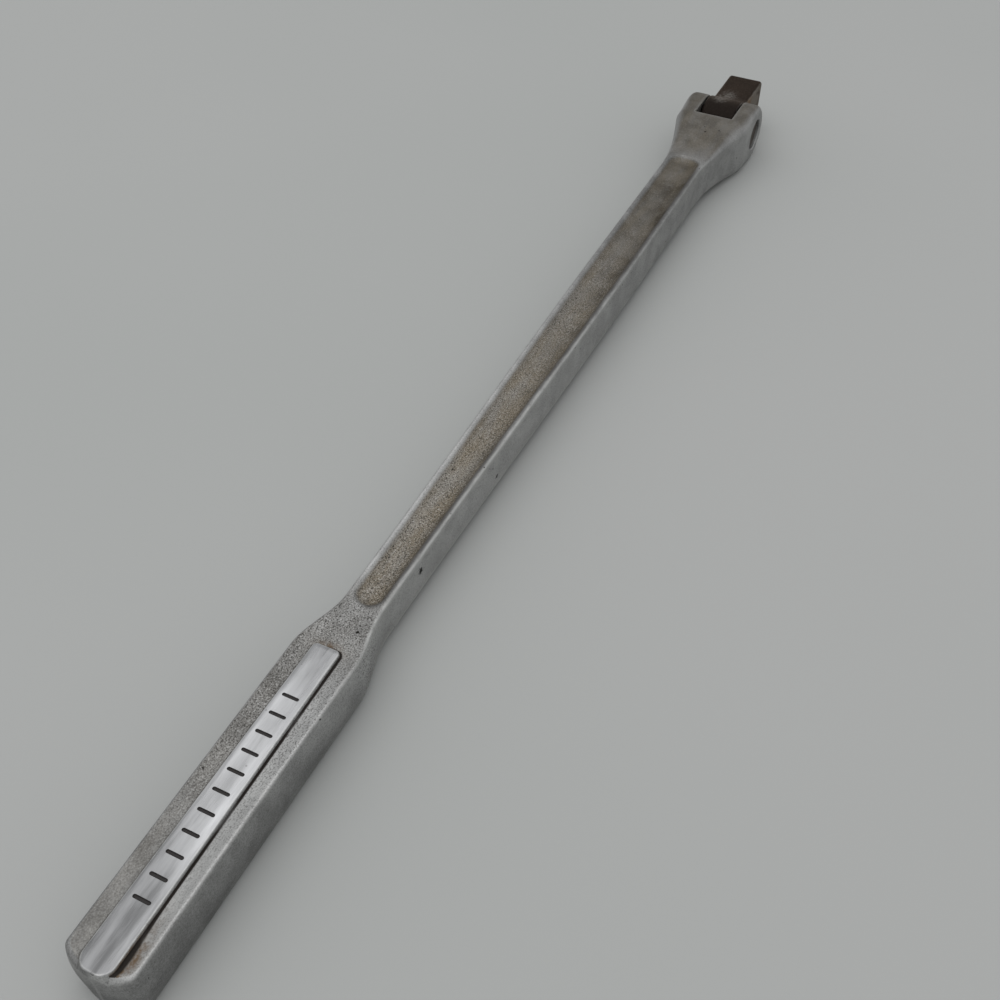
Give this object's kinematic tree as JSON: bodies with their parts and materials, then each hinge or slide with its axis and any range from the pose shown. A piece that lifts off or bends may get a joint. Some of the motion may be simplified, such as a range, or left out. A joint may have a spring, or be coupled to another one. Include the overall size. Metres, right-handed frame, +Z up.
{
  "type": "breaker bar",
  "caption": "Breaker bar: forged steel handle with I-beam shank and raised grip panel, and a square drive head that swings on a cross pin in its fork.",
  "frame": {"origin": "on the bench plane, under the middle of the bar's bounding box, with the bar lying on its grip panel and its yoke", "axes": "+X along the bar from the butt to the square drive, +Y to the left as seen from the butt, +Z up"},
  "size_m": [0.3784, 0.0264, 0.0201],
  "materials": {
    "forged_steel": "tumbled forging, grainy satin grey, with a polished panel and bright worn edges",
    "dark_oxide_steel": "near-black brown oxide with grey scuffs",
    "pin_steel": "dark brown, dull",
    "bearing_steel": "hardened and polished",
    "spring_steel": "drawn wire, oiled"
  },
  "bodies": {
    "bar": {"handle": "forged_steel", "pivot_pin": "pin_steel", "friction_spring": "spring_steel"},
    "head": {"drive_head": "dark_oxide_steel", "socket_detent_spring": "spring_steel"},
    "detent": {"socket_detent_ball": "bearing_steel"},
    "plunger": {"friction_plunger": "bearing_steel"}
  },
  "joints": [
    {"name": "head_pivot", "type": "hinge", "parent": "bar", "child": "head", "pos_m": [0.16044, 0, 0.01009], "axis": [0, -1, 0], "range_deg": [-100, 100]},
    {"name": "socket_detent", "type": "slide", "parent": "head", "child": "detent", "axis": [-0.0078, 0, 1], "range_m": [0, 0.001], "stiffness_N_per_m": 800, "deforming": ["socket_detent_spring"]},
    {"name": "friction_plunger_slide", "type": "slide", "parent": "bar", "child": "plunger", "axis": [1, 0, 0.0078], "range_m": [-0.001, 0], "stiffness_N_per_m": 2000, "deforming": ["friction_spring"]}
  ]
}
